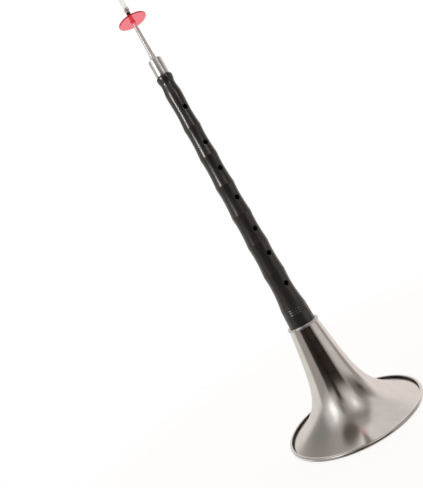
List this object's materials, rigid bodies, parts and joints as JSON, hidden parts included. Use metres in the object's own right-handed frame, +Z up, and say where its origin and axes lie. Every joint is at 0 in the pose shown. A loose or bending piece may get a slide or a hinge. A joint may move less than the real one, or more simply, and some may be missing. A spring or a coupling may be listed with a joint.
{
  "type": "suona",
  "caption": "Conical double-reed shawm with a ridged wooden pipe, finger holes, a flared metal bell that slides off, a tuning barrel and a lip disc.",
  "frame": {"origin": "centre of the bell's mouth, in the plane that the rolled rim stands on", "axes": "+Z up the pipe's axis to the reed, -Y the side with the finger holes, +X to the right of the finger holes"},
  "size_m": [0.173, 0.173, 0.579],
  "materials": {
    "black_wood": "black-stained hardwood, satin lacquer",
    "socket_metal": "turned, satin",
    "bell_metal": "spun and polished, fine rings from the lathe",
    "ring_chrome": "bright plated",
    "wire_steel": "drawn iron wire, darkened",
    "core_metal": "polished",
    "seal_rubber": "matt",
    "staple_metal": "polished",
    "cotton_thread": "wound cotton, waxed",
    "red_plastic": "clear moulded, glossy",
    "sleeve_rubber": "matt",
    "reed_plastic": "milky translucent",
    "copper_wire": null
  },
  "bodies": {
    "pipe": {"wood_pipe": "black_wood", "pipe_socket": "socket_metal"},
    "bell": {"bell": "bell_metal", "neck_ring": "ring_chrome", "rim_wire": "wire_steel"},
    "tuning_core": {"tuning_core": "core_metal", "core_rings": "seal_rubber"},
    "staple": {"staple_base": "staple_metal", "staple_tube": "staple_metal", "staple_thread": "cotton_thread", "stop_sleeve": "sleeve_rubber"},
    "air_disc": {"air_disc": "red_plastic"},
    "reed": {"reed": "reed_plastic", "reed_wire": "copper_wire"}
  },
  "joints": [
    {"name": "bell_slide", "type": "slide", "parent": "pipe", "child": "bell", "axis": [0, 0, 1], "range_m": [0, 0.4]},
    {"name": "tuning_slide", "type": "slide", "parent": "pipe", "child": "tuning_core", "axis": [0, 0, 1], "range_m": [0, 0.012]},
    {"name": "staple_turn", "type": "hinge", "parent": "tuning_core", "child": "staple", "pos_m": [0, 0, 0.48], "axis": [0, 0, 1], "continuous": true},
    {"name": "disc_turn", "type": "hinge", "parent": "staple", "child": "air_disc", "pos_m": [0, 0, 0.5434], "axis": [0, 0, 1], "continuous": true},
    {"name": "reed_slide", "type": "slide", "parent": "staple", "child": "reed", "axis": [0, 0, 1], "range_m": [0, 0.0058]}
  ]
}
